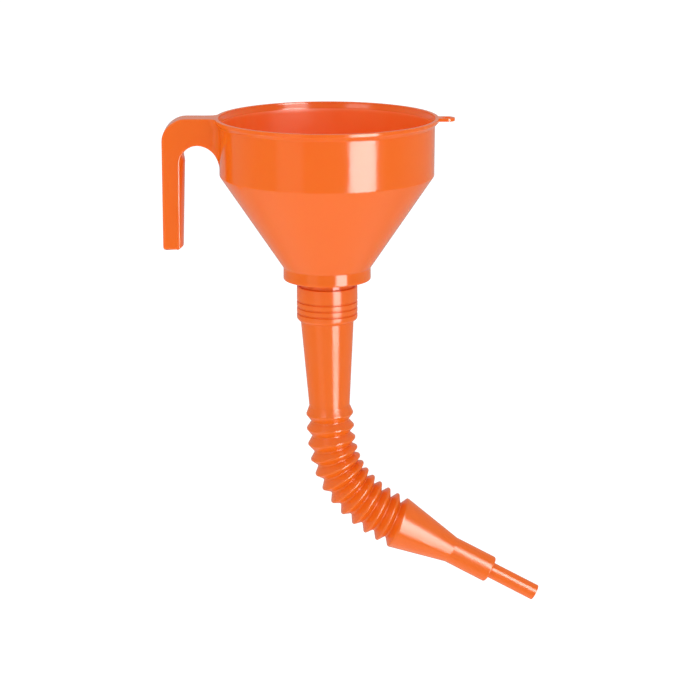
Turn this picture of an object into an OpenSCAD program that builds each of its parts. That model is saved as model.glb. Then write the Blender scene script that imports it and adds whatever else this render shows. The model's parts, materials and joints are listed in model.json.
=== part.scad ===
// Pouring funnel with a side handle, a drop-in strainer and a flexible bellows spout.
// Millimetres. The origin is the centre of the mouth, on the rim's top face, with +Z up.
// The handle is on the -X side, the hanging loop on +X, and the spout bends towards +X.

/* [Bowl] */
// Outside diameter of the rim
rim_d = 165.1; // [160:0.1:175]
// Height of the rim's outer lip
lip_h = 2.4; // [2:0.1:3]
// Drop of the slope under the lip, down to the straight wall
lip_slope_h = 3; // [2:0.1:4]
// How far the lip stands out from the straight wall
lip_out = 2.95; // [2:0.05:4]
// Width of the rim's flat top
rim_w = 2.75; // [2:0.05:3.5]
// Depth of the straight wall, from the rim's top face
wall_h = 42.6; // [38:0.1:48]
// Depth of the cone's foot, from the rim's top face
cone_foot_h = 112.2; // [105:0.1:120]
// Wall thickness of the bowl
bowl_wall = 1.8; // [1.5:0.1:2.5]

/* [Outlet] */
// Outside diameter of the cup under the cone
collar_d = 65.2; // [62:0.1:70]
// Height of the cup under the cone
collar_h = 9.1; // [8:0.1:12]
// Outside diameter of the stub that the spout is pushed onto
stub_d = 40.8; // [38:0.1:43]
// Length of the stub below the cup
stub_len = 28.4; // [22:0.1:29]

/* [Handle] */
// Distance from the mouth's centre to the leg's outer face
handle_reach = 121.2; // [115:0.1:130]
// Drop of the leg's lower end below the rim's top face
handle_drop = 97.4; // [85:0.1:105]
// Thickness of the leg, seen from the side
leg_t = 12.6; // [10:0.1:14]
// Width of the leg across the grip
leg_w = 21.5; // [18:0.1:26]
// Radius of the handle's outer top corner
handle_corner_r = 15.5; // [8:0.5:16]
// Drop of the arch's highest point below the rim's top face
arch_drop = 19.8; // [17:0.1:24]

/* [Hanging loop] */
// Distance from the mouth's centre to the hole's centre
loop_x = 88.2; // [87:0.1:92]
// Outside radius of the loop
loop_r = 6; // [5:0.1:8]
// Radius of the hole
loop_hole_r = 3.2; // [2.5:0.1:3.8]
// Thickness of the loop
loop_t = 2.5; // [2:0.1:3]

/* [Strainer] */
// Height of the strainer's ring
strainer_h = 5; // [4:0.1:7]
// Distance between wires of the gauze
gauze_pitch = 5; // [4:0.5:6]

/* [Spout] */
// Outside diameter of the ribbed sleeve
sleeve_d = 45.4; // [44:0.1:50]
// Length of the ribbed sleeve
sleeve_len = 25.8; // [24:0.1:32]
// Gap between the cup and the top of the sleeve
sleeve_gap = 5; // [4:0.1:8]
// Outside diameter of the tube under the sleeve
tube_top_d = 39.6; // [38:0.1:42]
// Outside diameter of the tube where the bellows starts
tube_foot_d = 30.4; // [30:0.1:32]
// Length of the tube
tube_len = 67.1; // [50:0.1:90]
// Lean of the tube towards the bend, in degrees
tube_lean = 1.35; // [0:0.05:3]

/* [Bellows] */
// Outside diameter of the first crest
crest_top_d = 35.4; // [34:0.1:37]
// Outside diameter of the last crest
crest_foot_d = 39.6; // [37:0.1:42]
// Nominal outside diameter of the folds between the crests
fold_d = 27.9; // [27:0.1:29]
// Pitch of the first three convolutions, which are drawn out
loose_pitch = 10.8; // [10:0.1:12]
// Pitch of the other convolutions
bent_pitch = 9.55; // [9.4:0.05:11]

/* [Nozzle] */
// Length of the reducer, from the last crest to the step tube
reducer_len = 45.9; // [35:0.1:60]
// Outside diameter of the step tube
step_d = 20.4; // [18:0.1:24]
// Length of the step tube
step_len = 34; // [20:0.1:50]
// Outside diameter of the tip tube
tip_d = 12.2; // [11:0.1:16]
// Length of the tip tube
tip_len = 39.3; // [20:0.1:60]

/* [Hidden] */
$fn = 96;
tiny = 0.01;
rim_r = rim_d / 2;
mouth_r = rim_r - rim_w;
mouth_land_h = 1.5;
wall_r = rim_r - lip_out;
bore_r = wall_r - bowl_wall;
wall_foot_r = wall_r - 0.3;
collar_r = collar_d / 2;
cup_r = collar_r - bowl_wall;
collar_foot_h = cone_foot_h + collar_h;
stub_r = stub_d / 2;
stub_bore_r = stub_r - bowl_wall;
stub_foot_h = collar_foot_h + stub_len;

// The handle's arch is made of two quarter ellipses that meet at its highest point.
arch_leg_w = 13.3;
arch_leg_spring_h = 34.3;
arch_wall_spring_h = 38;
leg_outer_soft = 2;
leg_inner_soft = 3;
handle_root_x = wall_r - 6;
handle_flare = 2;

// The strainer stands on the cup's floor with a little play all round.
strainer_play = 0.3;
strainer_seat = 0.1;
strainer_r = cup_r - strainer_play;
strainer_foot_z = -(collar_foot_h - bowl_wall) + strainer_seat;
strainer_inner_r = strainer_r - 2.4;
gauze_r = strainer_r - 1.2;
gauze_t = 0.6;
gauze_z = strainer_foot_z + 1.6;
gauze_hole = gauze_pitch - 1.1;

// The sleeve runs on the stub.
running_fit = 0.05;
sleeve_r = sleeve_d / 2;
sleeve_bore_r = stub_r + running_fit;
sleeve_top_h = collar_foot_h + sleeve_gap;
sleeve_foot_h = sleeve_top_h + sleeve_len;
sleeve_floor_t = 1.8;
groove_depth = 0.9;
groove_w = 1.4;
groove_drops = [11.1, 15.8, 20.4];
tube_wall = 1.5;
tube_root_h = 1;
tube_top_r = tube_top_d / 2;
tube_foot_r = tube_foot_d / 2;

// Bend at each fold at rest, in degrees, from the tube down to the nozzle.
fold_bend = [0.5, 1.5, 4, 6, 7, 8.5, 8, 6.5, 6.5, 5, 4, 3];
ring_count = len(fold_bend) - 1;
loose_rings = 3;
fold_r = fold_d / 2;
// Room left above and below each fold, so that neighbours don't meet when the bellows bends.
fold_room = 2.15;
ring_wall = 1.7;
lip_wall = 1.2;
crest_flat = 0.7;
crest_soft = 0.5;
// A round belt, centred on the fold, closes the room without rubbing.
belt_r = fold_r - 0.45;
belt_t = 1.2;
belt_reach = 2.8;
belt_steps = 6;
web_t = 0.9;
belt_h = fold_room + belt_reach;
belt_rise = belt_h + web_t;
nozzle_wall = 1.4;
end_soft = 1.5;

function total(list, n) = n <= 0 ? 0 : list[n - 1] + total(list, n - 1);
// Direction of ring i, measured from straight down; i = 0 is the tube and ring_count + 1 the nozzle.
function ring_dir(i) = tube_lean + total(fold_bend, i);
// A ring leans further than the line through its two folds, because the folds shear as the spout bends.
function ring_shear(i) = atan(1.2 * tan(ring_dir(i))) - ring_dir(i);
function ring_pitch(i) = i <= loose_rings ? loose_pitch : bent_pitch;
function heading(a) = [sin(a), 0, -cos(a)];
function sleeve_foot() = [0, 0, -sleeve_foot_h];
// Centre of fold i, the hinge between ring i - 1 and ring i.
function fold_pos(i) = i <= 1
    ? sleeve_foot() + tube_len * heading(tube_lean)
    : fold_pos(i - 1) + ring_pitch(i - 1) * heading(ring_dir(i - 1));
function crest_r(i) = (crest_top_d + (crest_foot_d - crest_top_d) * (i - 1) / ring_count) / 2;
// Outside radius of a convolution's flank, at a height above its fold.
function flank_r(i, h) = fold_r + (crest_r(i) - fold_r) * h / (ring_pitch(i) / 2);
function ellipse_arc(cx, cz, rx, rz, from, to, steps) =
    [for (k = [0 : steps]) let (a = from + (to - from) * k / steps) [cx + rx * cos(a), cz + rz * sin(a)]];

plastic = [0.95, 0.40, 0.14];
brass = [0.72, 0.58, 0.30];

// Outline of the bowl's outside, from the axis out to the rim.
function bowl_outside() = [
    [0, 0],
    [rim_r, 0],
    [rim_r, -lip_h],
    [wall_r, -lip_h - lip_slope_h],
    [wall_foot_r, -wall_h],
    [collar_r, -cone_foot_h],
    [0, -cone_foot_h]
];

module bowl() {
    color(plastic)
        rotate_extrude()
            difference() {
                polygon(bowl_outside());
                polygon([
                    [-tiny, 1],
                    [mouth_r, 1],
                    [mouth_r, -mouth_land_h],
                    [bore_r, -lip_h - lip_slope_h],
                    [bore_r, -wall_h],
                    [cup_r, -cone_foot_h],
                    [cup_r, -cone_foot_h - 1],
                    [-tiny, -cone_foot_h - 1]
                ]);
            }
}

// The cup that holds the strainer, and the stub that holds the spout.
module outlet_stub() {
    color(plastic)
        rotate_extrude()
            polygon([
                [cup_r, -cone_foot_h],
                [collar_r, -cone_foot_h],
                [collar_r, -collar_foot_h + 1],
                [collar_r - 1, -collar_foot_h],
                [stub_r, -collar_foot_h],
                [stub_r, -stub_foot_h],
                [stub_bore_r, -stub_foot_h],
                [stub_bore_r, -collar_foot_h + bowl_wall],
                [cup_r, -collar_foot_h + bowl_wall]
            ]);
}

// Side view of the handle: an inverted J whose arch runs out on the bowl's wall.
module handle_side() {
    leg_in = handle_reach - leg_t;
    arch_x = leg_in - arch_leg_w;
    polygon(concat(
        [[-handle_root_x, 0]],
        ellipse_arc(-handle_reach + handle_corner_r, -handle_corner_r,
            handle_corner_r, handle_corner_r, 90, 180, 12),
        ellipse_arc(-handle_reach + leg_outer_soft, -handle_drop + leg_outer_soft,
            leg_outer_soft, leg_outer_soft, 180, 270, 4),
        ellipse_arc(-leg_in - leg_inner_soft, -handle_drop + leg_inner_soft,
            leg_inner_soft, leg_inner_soft, 270, 360, 4),
        ellipse_arc(-arch_x, -arch_leg_spring_h,
            arch_leg_w, arch_leg_spring_h - arch_drop, 180, 90, 10),
        ellipse_arc(-arch_x, -arch_wall_spring_h,
            arch_x - wall_foot_r, arch_wall_spring_h - arch_drop, 80, 0, 10),
        [[-handle_root_x, -arch_wall_spring_h]]
    ));
}

// Top view of the handle, a little wider where it meets the bowl.
module handle_top() {
    polygon([
        [-handle_reach - 1, -leg_w / 2],
        [-handle_reach + leg_t, -leg_w / 2],
        [-handle_root_x, -leg_w / 2 - handle_flare],
        [-handle_root_x, leg_w / 2 + handle_flare],
        [-handle_reach + leg_t, leg_w / 2],
        [-handle_reach - 1, leg_w / 2]
    ]);
}

module handle() {
    color(plastic)
        difference() {
            intersection() {
                translate([0, leg_w, 0])
                    rotate([90, 0, 0])
                        linear_extrude(2 * leg_w)
                            handle_side();
                translate([0, 0, -handle_drop - 1])
                    linear_extrude(handle_drop + 2)
                        handle_top();
            }
            rotate_extrude()
                polygon(bowl_outside());
        }
}

module hanging_loop() {
    color(plastic)
        difference() {
            translate([0, 0, -loop_t])
                linear_extrude(loop_t)
                    difference() {
                        union() {
                            translate([loop_x, 0])
                                circle(loop_r);
                            translate([wall_r, -loop_r])
                                square([loop_x - wall_r, 2 * loop_r]);
                        }
                        translate([loop_x, 0])
                            circle(loop_hole_r);
                    }
            rotate_extrude()
                polygon(bowl_outside());
        }
}

module strainer_ring() {
    color(plastic)
        translate([0, 0, strainer_foot_z])
            rotate_extrude()
                difference() {
                    translate([strainer_inner_r, 0])
                        square([strainer_r - strainer_inner_r, strainer_h]);
                    translate([0, gauze_z - strainer_foot_z])
                        square([gauze_r, gauze_t]);
                }
}

// A disc of crossed wires, its edge held in the ring's groove.
module strainer_gauze() {
    reach = floor(strainer_inner_r / gauze_pitch);
    color(brass)
        translate([0, 0, gauze_z])
            linear_extrude(gauze_t)
                difference() {
                    circle(gauze_r);
                    for (ix = [-reach : reach])
                        for (iy = [-reach : reach])
                            if (norm([ix, iy]) * gauze_pitch < strainer_inner_r - gauze_pitch * 0.75)
                                translate([ix, iy] * gauze_pitch)
                                    square(gauze_hole, center = true);
                }
}

module spout_sleeve() {
    color(plastic)
        translate([0, 0, -sleeve_foot_h])
            rotate_extrude()
                difference() {
                    polygon([
                        [sleeve_bore_r, sleeve_floor_t],
                        [sleeve_bore_r, sleeve_len],
                        [sleeve_r - 0.5, sleeve_len],
                        [sleeve_r, sleeve_len - 0.5],
                        [sleeve_r, end_soft],
                        [sleeve_r - end_soft, 0],
                        [tube_top_r - tube_wall, 0],
                        [tube_top_r - tube_wall, sleeve_floor_t]
                    ]);
                    for (drop = groove_drops)
                        translate([sleeve_r - groove_depth, sleeve_len - drop - groove_w / 2])
                            square([groove_depth + 1, groove_w]);
                }
}

// Points of the belt under a wall, with the fold's centre at height z0: the wall's lower edge, the web and
// the belt's round outside, then back up its inside to the web's top.
function belt_points(z0) = concat(
    [for (k = [0 : belt_steps]) sphere_point(belt_r, fold_room - k * belt_h / belt_steps, z0)],
    [for (k = [0 : belt_steps]) sphere_point(belt_r - belt_t, -belt_reach + k * belt_rise / belt_steps, z0)]
);
function sphere_point(r, h, z0) = [sqrt(r * r - h * h), z0 + h];

// Places its children on ring i: the origin is the fold above it and -Z is its heading.
module on_ring(i) {
    translate(i == 0 ? sleeve_foot() : fold_pos(i))
        rotate([0, -ring_dir(i), 0])
            children();
}

module spout_tube() {
    color(plastic)
        difference() {
            on_ring(0)
                rotate_extrude()
                    polygon(concat(
                        [
                            [tube_top_r - tube_wall, tube_root_h],
                            [tube_top_r, tube_root_h],
                            [tube_foot_r, -tube_len + fold_room]
                        ],
                        belt_points(-tube_len),
                        [[tube_foot_r - tube_wall, -tube_len + fold_room + web_t]]
                    ));
            translate([0, 0, -sleeve_foot_h])
                cylinder(h = 10, r = sleeve_r);
        }
}

// Leans its children further by the ring's shear, about the middle of its crest.
module sheared(i) {
    crest_z = -ring_pitch(i) / 2;
    translate([0, 0, crest_z])
        rotate([0, -ring_shear(i), 0])
            translate([0, 0, -crest_z])
                children();
}

// One convolution: a hollow crest, with the fold above it at the origin and a belt round the fold below.
module convolution(i) {
    p = ring_pitch(i);
    top = crest_r(i);
    lip_r = flank_r(i, fold_room);
    color(plastic)
        on_ring(i)
            sheared(i)
                rotate_extrude()
                    polygon(concat(
                        crest_points(i),
                        [[lip_r, -p + fold_room]],
                        belt_points(-p),
                        [
                            [flank_r(i, fold_room + web_t) - ring_wall, -p + fold_room + web_t],
                            [top - ring_wall, -p / 2 - crest_flat],
                            [top - ring_wall, -p / 2 + crest_flat],
                            [lip_r - lip_wall, -fold_room]
                        ]
                    ));
}

// Outside of ring i from its upper lip over its softened crest.
function crest_points(i) = let (z = -ring_pitch(i) / 2, top = crest_r(i)) [
    [flank_r(i, fold_room), -fold_room],
    [top - crest_soft, z + crest_flat + crest_soft],
    [top, z + crest_flat],
    [top, z - crest_flat],
    [top - crest_soft, z - crest_flat - crest_soft]
];

// The last half crest and the cone that narrows to the step tube.
module nozzle_reducer() {
    i = ring_count + 1;
    top = crest_r(i);
    crest_z = -ring_pitch(i) / 2;
    color(plastic)
        on_ring(i)
            rotate_extrude()
                polygon(concat(
                    crest_points(i),
                    [
                        [step_d / 2, crest_z - reducer_len],
                        [step_d / 2 - nozzle_wall, crest_z - reducer_len],
                        [top - ring_wall, crest_z - crest_flat],
                        [top - ring_wall, crest_z + crest_flat],
                        [flank_r(i, fold_room) - lip_wall, -fold_room]
                    ]
                ));
}

// The step tube and the thin tip tube, each a straight length that enters a filler neck.
module nozzle_tip() {
    step_r = step_d / 2;
    tip_r = tip_d / 2;
    color(plastic)
        on_ring(ring_count + 1)
            translate([0, 0, -bent_pitch / 2 - reducer_len])
                rotate_extrude()
                    polygon([
                        [step_r - nozzle_wall, 0],
                        [step_r, 0],
                        [step_r, -step_len + end_soft],
                        [step_r - end_soft, -step_len],
                        [tip_r, -step_len],
                        [tip_r, -step_len - tip_len],
                        [tip_r - nozzle_wall, -step_len - tip_len],
                        [tip_r - nozzle_wall, -step_len + nozzle_wall],
                        [step_r - nozzle_wall, -step_len + nozzle_wall + end_soft]
                    ]);
}

bowl();
outlet_stub();
handle();
hanging_loop();
strainer_ring();
strainer_gauze();
spout_sleeve();
spout_tube();
convolution(1);  // convolution_01
convolution(2);  // convolution_02
convolution(3);  // convolution_03
convolution(4);  // convolution_04
convolution(5);  // convolution_05
convolution(6);  // convolution_06
convolution(7);  // convolution_07
convolution(8);  // convolution_08
convolution(9);  // convolution_09
convolution(10);  // convolution_10
convolution(11);  // convolution_11
nozzle_reducer();
nozzle_tip();
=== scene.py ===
"""Looks of the pouring funnel: a glossy moulded bowl, a gauze strainer and a blow-moulded bellows spout."""

import json
import math

import bmesh
import bpy
from mathutils import Matrix, Vector

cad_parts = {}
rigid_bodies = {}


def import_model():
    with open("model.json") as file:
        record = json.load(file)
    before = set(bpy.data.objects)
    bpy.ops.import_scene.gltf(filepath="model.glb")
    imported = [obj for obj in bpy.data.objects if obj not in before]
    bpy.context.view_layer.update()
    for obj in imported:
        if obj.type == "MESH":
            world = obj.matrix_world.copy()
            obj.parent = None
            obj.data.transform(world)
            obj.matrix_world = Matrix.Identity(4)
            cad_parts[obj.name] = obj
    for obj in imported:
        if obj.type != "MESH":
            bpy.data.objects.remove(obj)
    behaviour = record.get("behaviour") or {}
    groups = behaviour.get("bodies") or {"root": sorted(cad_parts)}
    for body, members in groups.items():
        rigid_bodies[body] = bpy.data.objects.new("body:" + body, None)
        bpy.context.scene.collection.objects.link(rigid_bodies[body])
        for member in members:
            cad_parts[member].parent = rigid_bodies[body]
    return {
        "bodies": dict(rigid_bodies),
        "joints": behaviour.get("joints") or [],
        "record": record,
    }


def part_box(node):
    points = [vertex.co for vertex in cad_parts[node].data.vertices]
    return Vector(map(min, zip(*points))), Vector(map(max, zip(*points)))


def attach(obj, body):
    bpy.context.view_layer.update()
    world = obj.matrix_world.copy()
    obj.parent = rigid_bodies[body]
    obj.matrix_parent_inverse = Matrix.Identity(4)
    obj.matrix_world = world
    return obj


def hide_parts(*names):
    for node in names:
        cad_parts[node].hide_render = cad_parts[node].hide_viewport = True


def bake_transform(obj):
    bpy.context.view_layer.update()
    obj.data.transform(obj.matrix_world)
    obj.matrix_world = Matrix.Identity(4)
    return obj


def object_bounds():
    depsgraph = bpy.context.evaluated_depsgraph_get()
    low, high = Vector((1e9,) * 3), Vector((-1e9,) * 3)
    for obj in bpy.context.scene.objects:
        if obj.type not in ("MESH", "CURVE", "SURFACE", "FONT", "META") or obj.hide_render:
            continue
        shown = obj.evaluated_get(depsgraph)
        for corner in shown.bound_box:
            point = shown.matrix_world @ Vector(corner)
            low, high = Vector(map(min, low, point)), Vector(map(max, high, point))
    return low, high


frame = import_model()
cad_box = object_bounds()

MM = 0.001
SHARP_DEG = 32
SLIVER = 0.002 * MM
MOUNTS = {mount["name"]: mount for mount in frame["record"]["mounts"]}


# ---------------------------------------------------------------- camera

CAMERA_PLACE = (0.01705, -1.883, 0.283)
CAMERA_PITCH_DEG = 13.7
CAMERA_LENS = 132.7


def add_camera():
    camera = bpy.data.objects.new("camera", bpy.data.cameras.new("camera"))
    camera.data.sensor_width = 36
    camera.data.lens = CAMERA_LENS
    camera.data.clip_end = 50
    camera.location = CAMERA_PLACE
    camera.rotation_euler = (math.radians(90 - CAMERA_PITCH_DEG), 0, 0)
    bpy.context.scene.collection.objects.link(camera)
    bpy.context.scene.camera = camera


add_camera()


# ---------------------------------------------------------------- mesh helpers, in millimetres

def make_mesh(name, points, faces, sharp_deg=SHARP_DEG):
    """A closed smooth-shaded piece, with its faces turned outwards."""
    mesh = bpy.data.meshes.new(name)
    mesh.from_pydata([tuple(c * MM for c in p) for p in points], [], faces)
    work = bmesh.new()
    work.from_mesh(mesh)
    bmesh.ops.recalc_face_normals(work, faces=work.faces)
    if work.calc_volume(signed=True) < 0:
        bmesh.ops.reverse_faces(work, faces=work.faces)
    work.to_mesh(mesh)
    work.free()
    mesh.shade_smooth()
    mesh.set_sharp_from_angle(angle=math.radians(sharp_deg))
    piece = bpy.data.objects.new(name, mesh)
    bpy.context.scene.collection.objects.link(piece)
    return piece


def arc(cx, cy, rx, ry, start_deg, end_deg, steps):
    """Points of an ellipse's arc."""
    made = []
    for k in range(steps + 1):
        a = math.radians(start_deg + (end_deg - start_deg) * k / steps)
        made.append((cx + rx * math.cos(a), cy + ry * math.sin(a)))
    return made


def rounded(corners, step_deg=9):
    """A closed outline with rounded corners. A corner is (r, z) or (r, z, radius)."""
    made = []
    for i, corner in enumerate(corners):
        here = Vector(corner[:2])
        radius = corner[2] if len(corner) > 2 else 0
        if radius <= 0:
            made.append(tuple(here))
            continue
        back = (Vector(corners[i - 1][:2]) - here)
        ahead = (Vector(corners[(i + 1) % len(corners)][:2]) - here)
        half = back.angle(ahead) / 2
        reach = min(radius / math.tan(half), 0.49 * back.length, 0.49 * ahead.length)
        radius = reach * math.tan(half)
        back.normalize()
        ahead.normalize()
        centre = here + (back + ahead).normalized() * radius / math.sin(half)
        first = here + back * reach - centre
        last = here + ahead * reach - centre
        turn = math.atan2(first.x * last.y - first.y * last.x, first.dot(last))
        steps = max(2, round(math.degrees(abs(turn)) / step_deg))
        made += [tuple(centre + Matrix.Rotation(turn * k / steps, 2) @ first) for k in range(steps + 1)]
    return made


def supported(outline, keep=0.35, longest=9):
    """Adds points near the ends of long straights, which keeps the shading's bend on the roundings."""
    made = []
    for i, start in enumerate(outline):
        made.append(start)
        a, b = Vector(start), Vector(outline[(i + 1) % len(outline)])
        length = (b - a).length
        if length > 4 * keep:
            inner = math.ceil((length - 2 * keep) / longest)
            stops = [keep + (length - 2 * keep) * k / inner for k in range(inner + 1)]
            made += [tuple(a + (b - a) * s / length) for s in stops]
    return made


def loops_to_faces(loops, count, closed):
    """Quads between neighbouring loops of count points, and between the last loop and the first if closed."""
    faces = []
    for k in range(loops if closed else loops - 1):
        n = (k + 1) % loops
        for i in range(count):
            j = (i + 1) % count
            faces.append((k * count + i, n * count + i, n * count + j, k * count + j))
    if not closed:
        faces.append(tuple(range(count)))
        faces.append(tuple(range((loops - 1) * count, loops * count)))
    return faces


def lathe(name, outline, turns=160, place=None):
    """A closed outline of (r, z) points turned round Z. place moves each point to where it belongs."""
    points = []
    for k in range(turns):
        a = 2 * math.pi * k / turns
        points += [(r * math.cos(a), r * math.sin(a), z) for r, z in outline]
    if place:
        points = [place(p) for p in points]
    return make_mesh(name, points, loops_to_faces(turns, len(outline), True))


def joined(name, base, *others):
    """The union of closed pieces as one new closed piece, without the slivers that a union leaves."""
    for other in others:
        union = base.modifiers.new("union", "BOOLEAN")
        union.operation = "UNION"
        union.solver = "MANIFOLD"
        union.object = other
    evaluated = base.evaluated_get(bpy.context.evaluated_depsgraph_get())
    mesh = bpy.data.meshes.new_from_object(evaluated)
    work = bmesh.new()
    work.from_mesh(mesh)
    bmesh.ops.remove_doubles(work, verts=work.verts, dist=SLIVER)
    bmesh.ops.triangulate(work, faces=[face for face in work.faces if len(face.verts) > 4])
    bmesh.ops.dissolve_degenerate(work, edges=work.edges, dist=SLIVER)
    work.to_mesh(mesh)
    work.free()
    mesh.shade_smooth()
    mesh.set_sharp_from_angle(angle=math.radians(SHARP_DEG))
    piece = bpy.data.objects.new(name, mesh)
    bpy.context.scene.collection.objects.link(piece)
    for used in (base, *others):
        bpy.data.objects.remove(used)
    even = piece.modifiers.new("even", "WEIGHTED_NORMAL")
    even.keep_sharp = True
    evaluated = piece.evaluated_get(bpy.context.evaluated_depsgraph_get())
    piece.data = bpy.data.meshes.new_from_object(evaluated)
    piece.modifiers.clear()
    return piece


def smooth_step(t):
    t = min(1, max(0, t))
    return t * t * (3 - 2 * t)


# ---------------------------------------------------------------- materials

def new_material(name):
    material = bpy.data.materials.new(name)
    material.use_nodes = True
    return material, material.node_tree.nodes, material.node_tree.links


def noise_at(nodes, links, scale, detail, stretch=(1, 1, 1)):
    place = nodes.new("ShaderNodeTexCoord")
    mapping = nodes.new("ShaderNodeMapping")
    mapping.inputs["Scale"].default_value = stretch
    noise = nodes.new("ShaderNodeTexNoise")
    noise.inputs["Scale"].default_value = scale
    noise.inputs["Detail"].default_value = detail
    links.new(place.outputs["Object"], mapping.inputs["Vector"])
    links.new(mapping.outputs["Vector"], noise.inputs["Vector"])
    return noise.outputs["Fac"]


def spread(nodes, links, source, least, most):
    """Stretches a noise's middle range over least to most."""
    span = nodes.new("ShaderNodeMapRange")
    span.inputs["From Min"].default_value = 0.3
    span.inputs["From Max"].default_value = 0.7
    span.inputs["To Min"].default_value = least
    span.inputs["To Max"].default_value = most
    links.new(source, span.inputs["Value"])
    return span.outputs["Result"]


def two_colours(nodes, links, source, first, second):
    mix = nodes.new("ShaderNodeMix")
    mix.data_type = "RGBA"
    mix.inputs[6].default_value = (*first, 1)
    mix.inputs[7].default_value = (*second, 1)
    links.new(source, mix.inputs[0])
    return mix.outputs[2]


def moulded_orange(name, deep, light, rough, glow, flow=(1, 1, 1)):
    """Glossy polyethylene: faint flow clouds in the colour, and a slightly uneven, soft skin."""
    material, nodes, links = new_material(name)
    shader = nodes["Principled BSDF"]
    clouds = noise_at(nodes, links, 14, 4, flow)
    links.new(two_colours(nodes, links, clouds, deep, light), shader.inputs["Base Color"])
    gloss = noise_at(nodes, links, 60, 3)
    links.new(spread(nodes, links, gloss, rough * 0.85, rough * 1.2), shader.inputs["Roughness"])
    bump = nodes.new("ShaderNodeBump")
    bump.inputs["Strength"].default_value = 0.05
    bump.inputs["Distance"].default_value = 0.0004
    links.new(noise_at(nodes, links, 240, 2), bump.inputs["Height"])
    links.new(bump.outputs["Normal"], shader.inputs["Normal"])
    shader.inputs["IOR"].default_value = 1.51
    shader.inputs["Subsurface Weight"].default_value = glow
    shader.inputs["Subsurface Radius"].default_value = (1, 0.5, 0.3)
    shader.inputs["Subsurface Scale"].default_value = 0.0035
    return material


def brass_wire():
    material, nodes, links = new_material("brass_wire")
    shader = nodes["Principled BSDF"]
    spots = noise_at(nodes, links, 400, 3)
    tint = two_colours(nodes, links, spots, (0.78, 0.58, 0.27), (0.58, 0.40, 0.17))
    links.new(tint, shader.inputs["Base Color"])
    links.new(spread(nodes, links, spots, 0.22, 0.4), shader.inputs["Roughness"])
    shader.inputs["Metallic"].default_value = 1
    return material


ORANGE = moulded_orange("orange_pe", (0.84, 0.143, 0.006), (0.87, 0.157, 0.008), 0.14, 0.4)
# The inside's orange is painted lighter than the outside's: painted light on the bowl's inner wall. Its
# rougher skin is real.
PAINTED_LIGHT_INSIDE_ORANGE = moulded_orange("orange_pe_inside_painted_light", (0.97, 0.168, 0.014), (0.98, 0.184, 0.018), 0.42, 0.4)
SPOUT_FLOW = (1, 1, 0.4)
SPOUT_ORANGE = moulded_orange("orange_spout", (0.84, 0.138, 0.006), (0.87, 0.152, 0.009), 0.2, 0.1, SPOUT_FLOW)
BRASS = brass_wire()


def finish_piece(piece, material):
    piece.data.materials.clear()
    piece.data.materials.append(material)
    return piece


# ---------------------------------------------------------------- funnel body

RIM_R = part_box("bowl")[1].x / MM
MOUTH_R = MOUNTS["mouth"]["dims"]["r_mm"]
BORE_R = MOUNTS["straight_bore"]["dims"]["r_mm"]
WALL_R = RIM_R - 2.95
WALL_FOOT_R = WALL_R - 0.3
SKIN = WALL_R - BORE_R
LIP_FOOT = -2.4
LIP_SLOPE_FOOT = MOUNTS["straight_bore"]["pos_m"][2] / MM
WALL_FOOT = LIP_SLOPE_FOOT - MOUNTS["straight_bore"]["dims"]["length_mm"]
MOUTH_LAND = -1.2
CONE_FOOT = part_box("bowl")[0].z / MM
COLLAR_H = 9.1
COLLAR_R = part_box("outlet_stub")[1].x / MM
COLLAR_FOOT = CONE_FOOT - COLLAR_H
CUP_R = COLLAR_R - SKIN
STUB_R = 20.4
STUB_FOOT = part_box("outlet_stub")[0].z / MM


def bowl_shell():
    outline = rounded([
        (MOUTH_R, 0, 0.4),
        (RIM_R, 0, 0.5),
        (RIM_R, LIP_FOOT, 0.5),
        (WALL_R, LIP_SLOPE_FOOT, 1.8),
        (WALL_FOOT_R, WALL_FOOT, 1.6),
        (COLLAR_R - 0.1, CONE_FOOT, 0.6),
        (COLLAR_R, COLLAR_FOOT, 1.3),
        (STUB_R, COLLAR_FOOT, 0.8),
        (STUB_R, STUB_FOOT, 0.4),
        (STUB_R - SKIN, STUB_FOOT, 0.4),
        (STUB_R - SKIN, COLLAR_FOOT + SKIN, 0.6),
        (CUP_R, COLLAR_FOOT + SKIN, 0.7),
        (CUP_R, CONE_FOOT, 1.0),
        (BORE_R, WALL_FOOT, 3.0),
        (BORE_R, LIP_SLOPE_FOOT, 8.0),
        (MOUTH_R - 0.2, MOUTH_LAND, 1.5),
    ])
    return lathe("bowl_shell", supported(outline), turns=240)


# The handle is an inverted J, swept from the leg's foot round the arch to the bowl's wall.
LEG_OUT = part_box("handle")[0].x / MM
LEG_T = 12.6
LEG_IN = LEG_OUT + LEG_T
LEG_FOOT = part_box("handle")[0].z / MM
FOOT_R = 2.2
ARM_HALF = 10.9
CORNER_W = 17.0
CORNER_H = 16.0
CORNER_POWER = 1.85
ARCH_LEG_W = 13.3
ARCH_X = LEG_IN + ARCH_LEG_W
ARCH_TOP = -19.8
ARCH_SPRING = -34.3
ARCH_END = -38.0
LIP_BURIED_R = RIM_R - 1.5
LIP_BURIED_FOOT = -3.0
WALL_BURIED_R = WALL_R - 1.0
WALL_BURIED_TOP = -5.8
# Depths inside the wall's outside at which the handle's last sections stand.
WALL_STATIONS = (0.7, 1.2, 1.7, 2.2, 4.0)
WEB_R = 7.0
WEB_SINK = 0.25
# Sections that end inside the wall stay this far apart, so that none lies on the next.
NEST = 0.04
NEST_MOST = 0.5
GRIP_CROWN_TOP = 3.9
GRIP_CROWN_FOOT = 2.0
FACE_CROWN = 0.05
EDGE_R = 0.9


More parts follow.
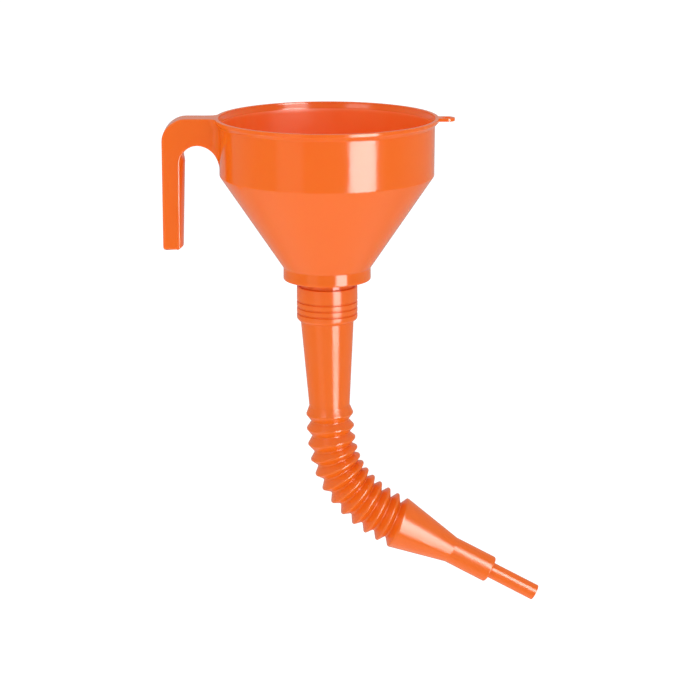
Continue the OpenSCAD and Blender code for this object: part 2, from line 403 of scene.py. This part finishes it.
def corner_points(steps=24):
    """The outer edge from the leg's side at the arch's spring, over the corner, to above the arch's top."""
    cx, cz = LEG_OUT + CORNER_W, -CORNER_H
    made = [(LEG_OUT, ARCH_SPRING), (LEG_OUT, cz)]
    for k in range(1, steps + 1):
        a = math.pi / 2 * k / steps
        made.append((cx - CORNER_W * math.cos(a) ** (2 / CORNER_POWER),
                     cz + CORNER_H * math.sin(a) ** (2 / CORNER_POWER)))
    return made + [(ARCH_X, 0)]


def along(path, t):
    """The point at share t of a path's length."""
    spans = [math.dist(a, b) for a, b in zip(path, path[1:])]
    left = t * sum(spans)
    for a, b, span in zip(path, path[1:], spans):
        if left <= span:
            s = left / span
            return (a[0] + (b[0] - a[0]) * s, a[1] + (b[1] - a[1]) * s)
        left -= span
    return path[-1]


def handle_stations():
    """(outer point, inner point, inset) for each section of the handle, in the XZ plane."""
    made = []
    for k in range(7):
        a = math.pi / 2 * k / 6
        z = LEG_FOOT + FOOT_R * (1 - math.cos(a))
        made.append(((LEG_OUT, z), (LEG_IN, z), FOOT_R * (1 - math.sin(a))))
    rise = ARCH_SPRING - LEG_FOOT - FOOT_R
    for k in range(1, 13):
        z = LEG_FOOT + FOOT_R + rise * k / 12
        made.append(((LEG_OUT, z), (LEG_IN, z), 0))
    edge = corner_points()
    arch = arc(ARCH_X, ARCH_SPRING, ARCH_X - LEG_IN, ARCH_TOP - ARCH_SPRING, 180, 90, 24)
    made += [(along(edge, k / 24), arch[k], 0) for k in range(1, 25)]
    arch = arc(ARCH_X, ARCH_END, -WALL_FOOT_R - ARCH_X, ARCH_TOP - ARCH_END, 90, 0, 24)
    made += [((x, 0), (x, z), 0) for x, z in arch[1:]]
    for depth in WALL_STATIONS:
        made.append(((depth - WALL_R, 0), (depth - WALL_R, ARCH_END), 0))
    return made


def buried_r(z):
    """Radius inside the bowl's wall or lip where the handle ends."""
    down = (LIP_BURIED_FOOT - z) / (LIP_BURIED_FOOT - WALL_BURIED_TOP)
    return LIP_BURIED_R + (WALL_BURIED_R - LIP_BURIED_R) * min(1, max(0, down))


def section_loop(across=10, corner=4):
    """A rounded square from -1 to 1, as (side share, depth share, corner direction) for handle_point."""
    made = []
    for quarter, (su, sv) in enumerate([(-1, -1), (1, -1), (1, 1), (-1, 1)]):
        start = 180 + 90 * quarter
        for k in range(corner + 1):
            a = math.radians(start + 90 * k / corner)
            made.append((su, sv, math.cos(a), math.sin(a)))
        nu, nv = [(1, -1), (1, 1), (-1, 1), (-1, -1)][quarter]
        normal = [(0, -1), (1, 0), (0, 1), (-1, 0)][quarter]
        for k in range(1, across):
            s = k / across
            made.append((su + (nu - su) * s, sv + (nv - sv) * s, *normal))
    return made


def half_depth(x, z):
    """Half the handle's depth: it flares into the bowl's lip and wall, and runs out under the arch."""
    outside = max(WALL_R, min(RIM_R, RIM_R + (RIM_R - WALL_R) * (z - LIP_FOOT) / (LIP_FOOT - LIP_SLOPE_FOOT)))
    reach = outside + WEB_R
    flare_x = -math.sqrt((reach - WEB_SINK) ** 2 - (ARM_HALF + WEB_R) ** 2)
    half = ARM_HALF
    if x > flare_x:
        over = min(x - flare_x, WEB_R)
        half += WEB_R - math.sqrt(WEB_R ** 2 - over ** 2)
        half = min(half, (ARM_HALF + WEB_R) * outside / reach)
    if x > ARCH_X and z < ARCH_TOP:
        left = max(0.0, (z - ARCH_END) / (ARCH_TOP - ARCH_END))
        near = smooth_step((x - ARCH_X) / 12)
        half *= 1 - near * (1 - max(0.08, math.sqrt(left)))
    return half


def handle_point(station, mark, nest):
    (ox, oz), (ix, iz), inset = station
    su, sv, nu, nv = mark
    width = math.dist((ox, oz), (ix, iz))
    ux, uz = (ix - ox) / width, (iz - oz) / width
    flat = width / 2 - EDGE_R
    u = width / 2 + su * flat + nu * EDGE_R - nu * inset
    x, z = ox + ux * u, oz + uz * u
    half = half_depth(x, z)
    edge = min(EDGE_R, half * 0.4)
    y = sv * (half - edge) + nv * edge - nv * inset
    y *= 1 - FACE_CROWN * abs(2 * u / width - 1) ** 3
    on_leg = smooth_step((-23 - z) / 10) if x < ARCH_X else 0
    inner = max(0, 2 * u / width - 1) ** 2
    crown = GRIP_CROWN_TOP + (GRIP_CROWN_FOOT - GRIP_CROWN_TOP) * (z - ARCH_SPRING) / (LEG_FOOT - ARCH_SPRING)
    x += crown * on_leg * inner * (1 - min(1, (y / ARM_HALF) ** 2)) * (1 - inset / FOOT_R)
    least_r = buried_r(z) + nest
    if x * x + y * y < least_r ** 2:
        x = -math.sqrt(least_r ** 2 - y * y)
    return (x, y, z)


def handle_solid():
    """The swept handle. Shrinking sections close its end along the wall's curve."""
    stations = handle_stations()
    marks = section_loop()
    points = []
    for k, station in enumerate(stations):
        nest = min(NEST_MOST, NEST * (len(stations) - 1 - k))
        points += [handle_point(station, mark, nest) for mark in marks]
    for share in (0.8, 0.6, 0.4, 0.2, 0.05):
        points += [handle_point(stations[-1], [c * share for c in mark], 0) for mark in marks]
    loops = len(points) // len(marks)
    return make_mesh("handle_solid", points, loops_to_faces(loops, len(marks), False))


LOOP_X = MOUNTS["hang_hole"]["pos_m"][0] / MM
LOOP_HOLE_R = MOUNTS["hang_hole"]["dims"]["r_mm"]
LOOP_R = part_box("hanging_loop")[1].x / MM - LOOP_X
LOOP_T = -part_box("hanging_loop")[0].z / MM


def loop_reach(a):
    """Distance from the hole's centre to the loop's outer edge: round outside, square towards the bowl."""
    if math.cos(a) >= 0:
        return LOOP_R
    to_side = LOOP_R / max(1e-6, abs(math.sin(a)))
    to_bowl = (LOOP_X - LIP_BURIED_R) / abs(math.cos(a))
    return min(to_side, to_bowl)


def loop_solid(turns=96):
    points = []
    section = []
    for k in range(turns):
        a = 2 * math.pi * k / turns
        section = supported(rounded([
            (LOOP_HOLE_R, 0, 0.35),
            (loop_reach(a), 0, 0.35),
            (loop_reach(a), -LOOP_T, 0.35),
            (LOOP_HOLE_R, -LOOP_T, 0.35),
        ], 18), 0.2, 100)
        points += [(LOOP_X + r * math.cos(a), r * math.sin(a), z) for r, z in section]
    return make_mesh("loop_solid", points, loops_to_faces(turns, len(section), True))


def funnel_body():
    piece = joined("funnel_body", bowl_shell(), handle_solid(), loop_solid())
    finish_piece(piece, ORANGE)
    piece.data.materials.append(PAINTED_LIGHT_INSIDE_ORANGE)
    # Inward faces of the bore and cone take the lighter inside orange: painted light on the inner wall.
    for face in piece.data.polygons:
        centre = face.center / MM
        reach = math.hypot(centre.x, centre.y)
        inwards = face.normal.x * centre.x + face.normal.y * centre.y < 0
        if inwards and reach < BORE_R + 0.3 and centre.z > COLLAR_FOOT:
            face.material_index = 1
    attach(piece, "funnel")
    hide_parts("bowl", "outlet_stub", "handle", "hanging_loop")


funnel_body()


# ---------------------------------------------------------------- strainer

RING_LOW, RING_HIGH = (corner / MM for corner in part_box("strainer_ring"))
GAUZE_LOW, GAUZE_HIGH = (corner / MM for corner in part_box("strainer_gauze"))
RING_R = RING_HIGH.x
RING_BORE = RING_R - 2.4
GAUZE_Z = (GAUZE_LOW.z + GAUZE_HIGH.z) / 2
WIRE_PITCH = 1.5
WIRE_R = 0.14


def strainer_ring():
    """The rim that clamps the gauze: a flanged band with a rounded lip and a groove round its outside."""
    foot, top = RING_LOW.z, RING_HIGH.z
    outline = rounded([
        (RING_BORE, foot, 0.4),
        (RING_R - 0.7, foot, 0.4),
        (RING_R - 0.7, top - 1.6, 0.3),
        (RING_R, top - 1.2, 0.3),
        (RING_R, top, 0.5),
        (RING_BORE + 0.8, top, 0.5),
        (RING_BORE + 0.4, GAUZE_Z + 0.7, 0.3),
        (RING_BORE, GAUZE_Z + 0.4, 0.3),
    ])
    piece = lathe("strainer_rim", supported(outline, 0.2))
    finish_piece(piece, ORANGE)
    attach(piece, "strainer")
    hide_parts("strainer_ring")


def wire(points, faces, offset, along_x, phase, sides=6, steps_per_cell=4):
    """Adds one wavy wire of the weave to points and faces."""
    half = math.sqrt(GAUZE_HIGH.x ** 2 - offset ** 2)
    steps = max(4, round(2 * half / WIRE_PITCH * steps_per_cell))
    base = len(points)
    for k in range(steps + 1):
        s = -half + 2 * half * k / steps
        z = GAUZE_Z + phase * WIRE_R * 1.05 * math.cos(math.pi * s / WIRE_PITCH)
        for side in range(sides):
            a = 2 * math.pi * side / sides
            across, up = WIRE_R * math.cos(a), WIRE_R * math.sin(a)
            points.append((s, offset + across, z + up) if along_x else (offset + across, s, z + up))
    faces += [tuple(base + i for i in f) for f in loops_to_faces(steps + 1, sides, False)]


def strainer_gauze():
    points, faces = [], []
    count = int((GAUZE_HIGH.x - 1.5) / WIRE_PITCH)
    for k in range(-count, count + 1):
        phase = 1 if k % 2 else -1
        wire(points, faces, k * WIRE_PITCH, True, phase)
        wire(points, faces, k * WIRE_PITCH, False, -phase)
    piece = make_mesh("gauze_weave", points, faces, 80)
    finish_piece(piece, BRASS)
    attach(piece, "strainer")
    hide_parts("strainer_gauze")


strainer_ring()
strainer_gauze()


# ---------------------------------------------------------------- spout: sleeve and tube

RING_COUNT = sum(name.startswith("bellows_") for name in frame["bodies"])
BODIES = ["spout_neck"] + [f"bellows_{i:02d}" for i in range(1, RING_COUNT + 1)] + ["nozzle"]
INTO = {joint["child"]: Vector(joint.get("pos_m", (0, 0, 0))) / MM for joint in frame["joints"]}
FOLDS = [INTO[body] for body in BODIES[1:]]
SLEEVE_LOW, SLEEVE_HIGH = (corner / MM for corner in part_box("spout_sleeve"))
SLEEVE_R = SLEEVE_HIGH.x
SLEEVE_TOP = SLEEVE_HIGH.z
SLEEVE_FOOT = SLEEVE_LOW.z
SLEEVE_BORE = STUB_R + 0.15
TUBE_TOP_R = 19.8
TUBE_FOOT_R = 15.2
TUBE_WALL = 1.4
SEAM_LIFT = 2.0
GROOVES = (11.1, 15.8, 20.4)
GROOVE_W = 1.5
GROOVE_DEPTH = 1.1


def lean_of(vector):
    """Angle of a direction from straight down, towards +X."""
    return math.atan2(vector.x, -vector.z)


def turned(point, pivot, lean):
    """A point drawn below the origin along -Z, moved to pivot and leaned towards +X."""
    x, y, z = point
    return (pivot.x + x * math.cos(lean) - z * math.sin(lean), y,
            pivot.z + z * math.cos(lean) + x * math.sin(lean))


SLEEVE_CENTRE = Vector((0, 0, SLEEVE_FOOT))
LEANS = [lean_of(FOLDS[0] - SLEEVE_CENTRE)]
LEANS += [lean_of(b - a) for a, b in zip(FOLDS, FOLDS[1:])]
LEANS.append(lean_of(Vector(MOUNTS["nozzle_tip_outside"]["axis"])))
TUBE_LEN = (FOLDS[0] - SLEEVE_CENTRE).length
TUBE_SLOPE = (TUBE_TOP_R - TUBE_FOOT_R) / TUBE_LEN


def sleeve_side():
    """The sleeve's outside, from its top edge down: a plain band, then round ribs between grooves."""
    made = [(SLEEVE_R - 0.1, SLEEVE_TOP, 0.6)]
    for drop in GROOVES:
        z = SLEEVE_TOP - drop
        made += [
            (SLEEVE_R, z + GROOVE_W / 2, 0.35),
            (SLEEVE_R - GROOVE_DEPTH, z + 0.3, 0.25),
            (SLEEVE_R - GROOVE_DEPTH, z - 0.3, 0.25),
            (SLEEVE_R, z - GROOVE_W / 2, 0.35),
        ]
    made += [(SLEEVE_R, SLEEVE_FOOT + 1.2, 3.0), (TUBE_TOP_R + 1.0, SLEEVE_FOOT - 0.4, 1.2)]
    return made


def spout_neck():
    """The push-on sleeve and the tapered tube in one piece. The tube leans from the sleeve's foot down."""
    foot = SLEEVE_FOOT - TUBE_LEN + SEAM_LIFT
    foot_r = TUBE_FOOT_R + TUBE_SLOPE * SEAM_LIFT
    outline = supported(rounded(sleeve_side() + [
        (TUBE_TOP_R, SLEEVE_FOOT - 0.9, 0.6),
        (foot_r, foot),
        (foot_r - TUBE_WALL, foot),
        (TUBE_TOP_R - TUBE_WALL, SLEEVE_FOOT, 1.5),
        (SLEEVE_BORE, SLEEVE_FOOT + 2.2, 0.6),
        (SLEEVE_BORE, SLEEVE_TOP, 0.4),
    ]))

    def place(point):
        x, y, z = point
        lean = LEANS[0] * smooth_step((SLEEVE_FOOT + 1 - z) / 3)
        return turned((x, y, z - SLEEVE_FOOT), SLEEVE_CENTRE, lean)

    piece = lathe("sleeve_and_tube", outline, 160, place)
    finish_piece(piece, SPOUT_ORANGE)
    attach(piece, "spout_neck")
    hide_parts("spout_sleeve", "spout_tube")


spout_neck()


# ---------------------------------------------------------------- spout: bellows

VALLEY_R = 14.3
CREST_FIRST = 17.7
CREST_LAST = 19.8
CREST_ROUND = 1.0
VALLEY_ROUND = 1.0
BELLOWS_WALL = 1.1
FLAT = 0.12
STILL_SHARE = 0.6
SHEAR = 1.2
CREST_THICKENING = 1.3


def crest_lean(i):
    """How far crest i leans: further than the centre line, as the folds shear where the spout bends."""
    return math.atan(SHEAR * math.tan(LEANS[i])) if i else LEANS[0]


def sheared(point, pivot, lean, section_lean):
    """Places a point drawn below the origin: the centre line leans by lean, sections by section_lean."""
    x, y, z = point
    return (pivot.x - z * math.sin(lean) + x * math.cos(section_lean), y,
            pivot.z + z * math.cos(lean) + x * math.sin(section_lean))


def crest_r(i):
    return CREST_FIRST + (CREST_LAST - CREST_FIRST) * (i - 1) / RING_COUNT


def half_pitch(i):
    """Half the height of convolution i. The nozzle's half crest is as high as the one before it."""
    i = min(i, RING_COUNT)
    return (FOLDS[i] - FOLDS[i - 1]).length / 2


def flank(crest, height, valley, crest_round, valley_round, steps=6):
    """Outline from a crest at the given height down to a valley at 0: arc, straight flank, arc."""
    top = Vector((crest - crest_round, height - FLAT))
    foot = Vector((valley + valley_round, 0))
    gap = foot - top
    lean = math.atan2(gap.y, gap.x) + math.acos((crest_round + valley_round) / gap.length)
    made = [(crest, height)]
    for k in range(steps + 1):
        a = lean * k / steps
        made.append((top.x + crest_round * math.cos(a), top.y + crest_round * math.sin(a)))
    for k in range(steps + 1):
        a = lean * (1 - k / steps)
        made.append((foot.x - valley_round * math.cos(a), foot.y - valley_round * math.sin(a)))
    return made


def mirrored(outline):
    return [(r, -z) for r, z in reversed(outline)]


def fold_outline(i):
    """Closed section of the skin from crest i - 1 over fold i to crest i, with the fold at height 0."""
    down = half_pitch(i)
    skin = BELLOWS_WALL
    lower = flank(crest_r(i), down, VALLEY_R, CREST_ROUND, VALLEY_ROUND)
    lower_in = flank(crest_r(i) - skin * CREST_THICKENING, down, VALLEY_R - skin, 0.35, 1.3)
    if i > 1:
        up = half_pitch(i - 1)
        upper = flank(crest_r(i - 1), up, VALLEY_R, CREST_ROUND, VALLEY_ROUND)
        upper_in = flank(crest_r(i - 1) - skin * CREST_THICKENING, up, VALLEY_R - skin, 0.35, 1.3)
        outside = upper + mirrored(lower)[1:]
        inside = upper_in + mirrored(lower_in)[1:]
        return outside + list(reversed(inside))
    start_r = TUBE_FOOT_R + TUBE_SLOPE * SEAM_LIFT
    arc_points = mirrored(lower)[-8:]
    return rounded([
        (start_r, SEAM_LIFT),
        (start_r, SEAM_LIFT - 0.3),
        (TUBE_FOOT_R, 0, 0.9),
    ])[:-1] + arc_points + list(reversed(mirrored(lower_in)[-8:])) + [
        (TUBE_FOOT_R - TUBE_WALL, 0.3),
        (start_r - TUBE_WALL, SEAM_LIFT),
    ]


def bellows_fold(i):
    """The thin skin round fold i, from crest i - 1 to crest i. Its sections keep their crests' lean near the
    two crests and turn between them.
    """
    up = half_pitch(i - 1) if i > 1 else SEAM_LIFT
    down = half_pitch(i)
    still_up, still_down = up * STILL_SHARE, down * STILL_SHARE
    before, after = crest_lean(i - 1), crest_lean(i)
    fold = FOLDS[i - 1]

    def place(point):
        share = smooth_step((still_up - point[2]) / (still_up + still_down))
        line_lean = LEANS[i - 1] if point[2] > 0 else LEANS[i]
        return sheared(point, fold, line_lean, before + (after - before) * share)

    piece = lathe(f"bellows_fold_{i:02d}", fold_outline(i), 144, place)
    finish_piece(piece, SPOUT_ORANGE)
    middle = (before + after) / 2
    start = Vector(turned((0, 0, still_up), fold, middle)) * MM
    end = Vector(turned((0, 0, -still_down), fold, middle)) * MM
    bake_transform(piece)
    if i <= RING_COUNT:
        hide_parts(f"convolution_{i:02d}")


for number in range(1, RING_COUNT + 2):
    bellows_fold(number)


# ---------------------------------------------------------------- spout: nozzle

STEP_R = MOUNTS["nozzle_step_outside"]["dims"]["r_mm"]
TIP_R = MOUNTS["nozzle_tip_outside"]["dims"]["r_mm"]
TIP_BORE = MOUNTS["outlet"]["dims"]["r_mm"]
TIP_LEN = MOUNTS["nozzle_tip_outside"]["dims"]["length_mm"]
TIP_CENTRE = Vector(MOUNTS["nozzle_tip_outside"]["pos_m"]) / MM
NOZZLE_END = -((TIP_CENTRE - FOLDS[-1]).length + TIP_LEN / 2)
STEP_FOOT = NOZZLE_END + TIP_LEN
STEP_LEN = 34
STEP_TOP = STEP_FOOT + STEP_LEN
NOZZLE_WALL = 1.3


def nozzle():
    """The last crest, the reducing cone, the step tube and the tip tube, drawn down from the last fold."""
    crest = CREST_LAST
    height = -half_pitch(RING_COUNT + 1)
    outline = supported(rounded([
        (crest, height),
        (crest, height - FLAT),
        (crest - 0.1, height - 0.9, 1.0),
        (STEP_R, STEP_TOP, 2.0),
        (STEP_R + 0.1, STEP_FOOT, 1.5),
        (TIP_R - 0.05, STEP_FOOT, 0.6),
        (TIP_R, NOZZLE_END, 0.3),
        (TIP_BORE, NOZZLE_END, 0.3),
        (TIP_BORE, STEP_FOOT + 1.4, 0.5),
        (STEP_R - NOZZLE_WALL, STEP_FOOT + 2.4, 0.8),
        (STEP_R - NOZZLE_WALL, STEP_TOP, 2.0),
        (crest - BELLOWS_WALL * CREST_THICKENING, height - 1.2, 1.0),
        (crest - BELLOWS_WALL * CREST_THICKENING, height),
    ]), 0.3)

    def place(point):
        share = smooth_step((height - point[2]) / (height - STEP_TOP))
        seam = crest_lean(RING_COUNT + 1)
        return sheared(point, FOLDS[-1], LEANS[-1], seam + (LEANS[-1] - seam) * share)

    piece = lathe("nozzle_shell", outline, 144, place)
    finish_piece(piece, SPOUT_ORANGE)
    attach(piece, "nozzle")
    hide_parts("nozzle_reducer", "nozzle_tip")


nozzle()


# ---------------------------------------------------------------- floor and light

def add_floor():
    """A plain white floor a little below the nozzle, evenly lit. The boxes' reflections reach past it."""
    material, nodes, links = new_material("pale_floor")
    shader = nodes["Principled BSDF"]
    clouds = noise_at(nodes, links, 3, 2)
    links.new(two_colours(nodes, links, clouds, (0.93, 0.93, 0.93), (0.95, 0.95, 0.95)),
              shader.inputs["Base Color"])
    shader.inputs["Roughness"].default_value = 0.9
    shader.inputs["Emission Color"].default_value = (1, 1, 1, 1)
    shader.inputs["Emission Strength"].default_value = FLOOR_GLOW
    size = 8.0
    level = cad_box[0][2] - 0.12
    mesh = bpy.data.meshes.new("floor")
    corners = [(-size, -size, level), (size, -size, level), (size, size, level), (-size, size, level)]
    mesh.from_pydata(corners, [], [(0, 1, 2, 3)])
    floor = bpy.data.objects.new("floor", mesh)
    floor.data.materials.append(material)
    floor.visible_glossy = False
    bpy.context.scene.collection.objects.link(floor)


def add_softbox(name, place, width, height, power, diffuse, glossy):
    data = bpy.data.lights.new(name, "AREA")
    data.shape = "RECTANGLE"
    data.size = width
    data.size_y = height
    data.energy = power
    light = bpy.data.objects.new(name, data)
    light.location = place
    aim = Vector((0, 0, place[2] if glossy else -0.15)) - Vector(place)
    light.rotation_euler = aim.to_track_quat("-Z", "Y").to_euler()
    light.visible_diffuse = diffuse
    light.visible_glossy = glossy
    bpy.context.scene.collection.objects.link(light)


def ramp_between(nodes, links, source, low, high, start, end):
    """A smooth change from start to end as the source goes from low to high."""
    span = nodes.new("ShaderNodeMapRange")
    span.interpolation_type = "SMOOTHSTEP"
    span.inputs["From Min"].default_value = low
    span.inputs["From Max"].default_value = high
    span.inputs["To Min"].default_value = start
    span.inputs["To Max"].default_value = end
    links.new(source, span.inputs["Value"])
    return span.outputs["Result"]


def combined(nodes, links, operation, first, second):
    maths = nodes.new("ShaderNodeMath")
    maths.operation = operation
    links.new(first, maths.inputs[0])
    links.new(second, maths.inputs[1])
    return maths.outputs[0]


def add_world():
    """A studio. For gloss it is dim in front, brighter behind and near white below. Soft light is even."""
    world = bpy.data.worlds.new("studio")
    world.use_nodes = True
    bpy.context.scene.world = world
    nodes, links = world.node_tree.nodes, world.node_tree.links
    place = nodes.new("ShaderNodeTexCoord")
    split = nodes.new("ShaderNodeSeparateXYZ")
    links.new(place.outputs["Generated"], split.inputs["Vector"])
    behind = ramp_between(nodes, links, split.outputs["Y"], -0.35, 0.25, DIM_FRONT, HORIZON)
    below = ramp_between(nodes, links, split.outputs["Z"], -0.5, -0.9, 0.0, 0.85)
    soft = ramp_between(nodes, links, split.outputs["Z"], -0.2, 1.0, SOFT_LIGHT, SOFT_LIGHT_ABOVE)
    rays = nodes.new("ShaderNodeLightPath")
    shown = nodes["Background"]
    for source, ray in ((soft, None), (combined(nodes, links, "MAXIMUM", behind, below), "Is Glossy Ray"),
                        (None, "Is Camera Ray")):
        light = nodes.new("ShaderNodeBackground")
        light.inputs["Color"].default_value = (1, 1, 1, 1)
        if source:
            links.new(source, light.inputs["Color"])
        if ray:
            mix = nodes.new("ShaderNodeMixShader")
            links.new(rays.outputs[ray], mix.inputs[0])
            links.new(shown.outputs[0], mix.inputs[1])
            links.new(light.outputs[0], mix.inputs[2])
            light = mix
        shown = light
    links.new(shown.outputs[0], nodes["World Output"].inputs["Surface"])


SOFT_LIGHT = 0.80
SOFT_LIGHT_ABOVE = 0.97
FLOOR_GLOW = 0.24
DIM_FRONT = 0.28
HORIZON = 0.45
add_floor()
add_world()
add_softbox("softbox_right", (1.15, -1.45, -0.4), 0.95, 2.8, 100, False, True)
add_softbox("softbox_left", (-1.15, -1.45, -0.4), 0.95, 2.8, 3.5, False, True)
add_softbox("overhead_right", (1.15, -1.45, 1.25), 0.95, 0.9, 12, False, True)
add_softbox("overhead_left", (-1.15, -1.45, 1.25), 0.95, 0.9, 7, False, True)
add_softbox("fill_front", (0.2, -2.3, 0.4), 2.2, 1.6, 6, True, False)
bpy.context.scene.view_settings.view_transform = "Standard"
